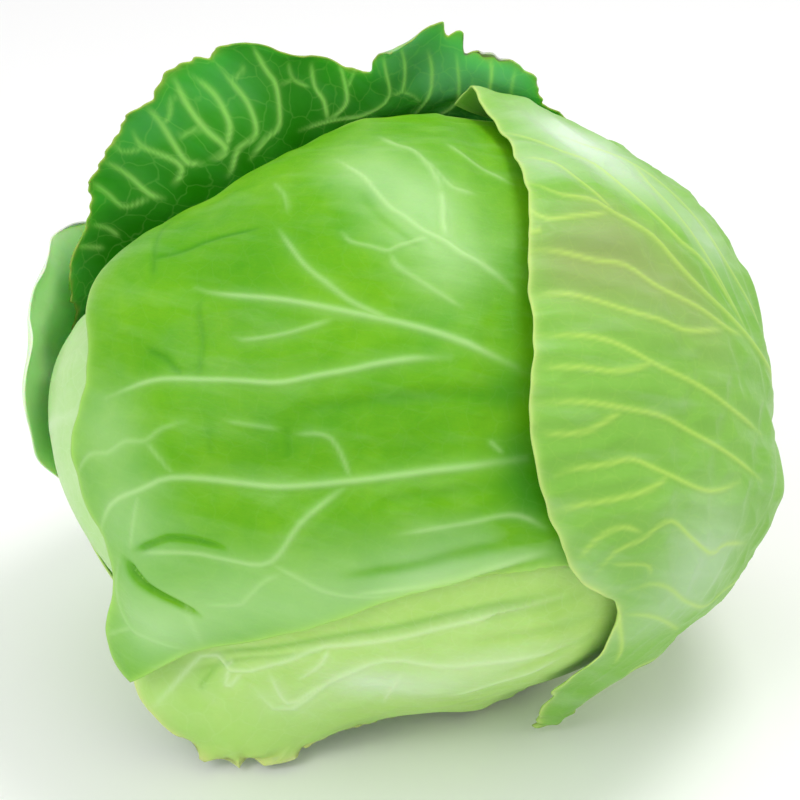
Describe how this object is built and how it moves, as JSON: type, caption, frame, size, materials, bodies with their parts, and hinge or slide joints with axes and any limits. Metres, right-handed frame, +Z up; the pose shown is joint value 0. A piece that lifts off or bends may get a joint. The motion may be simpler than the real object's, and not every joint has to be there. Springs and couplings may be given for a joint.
{
  "type": "cabbage head",
  "caption": "Head of green cabbage lying on its side, with its outer leaves folded round the heart and flaring at the top, left and front.",
  "frame": {"origin": "middle of the flattened spot that the head lies on, on the surface", "axes": "+Z up from the surface; +X towards the stalk side; -Y towards the front leaf"},
  "size_m": [0.2237, 0.1941, 0.1857],
  "materials": {
    "heart_flesh": "satin",
    "stalk_flesh": "matte",
    "crown_leaf_blade": "satin",
    "inner_leaf_blade": "satin",
    "underside_leaf_blade": "satin",
    "skirt_leaf_blade": "satin",
    "front_leaf_blade": "satin",
    "right_leaf_blade": "satin",
    "dark_leaf_blade": "satin",
    "left_leaf_blade": "satin"
  },
  "bodies": {
    "root": {"heart": "heart_flesh", "stalk": "stalk_flesh", "crown_leaf": "crown_leaf_blade", "top_inner_leaf": "inner_leaf_blade", "underside_leaf": "underside_leaf_blade", "skirt_leaf": "skirt_leaf_blade", "front_leaf": "front_leaf_blade", "right_leaf": "right_leaf_blade", "back_leaf": "dark_leaf_blade", "left_leaf": "left_leaf_blade"}
  },
  "joints": []
}
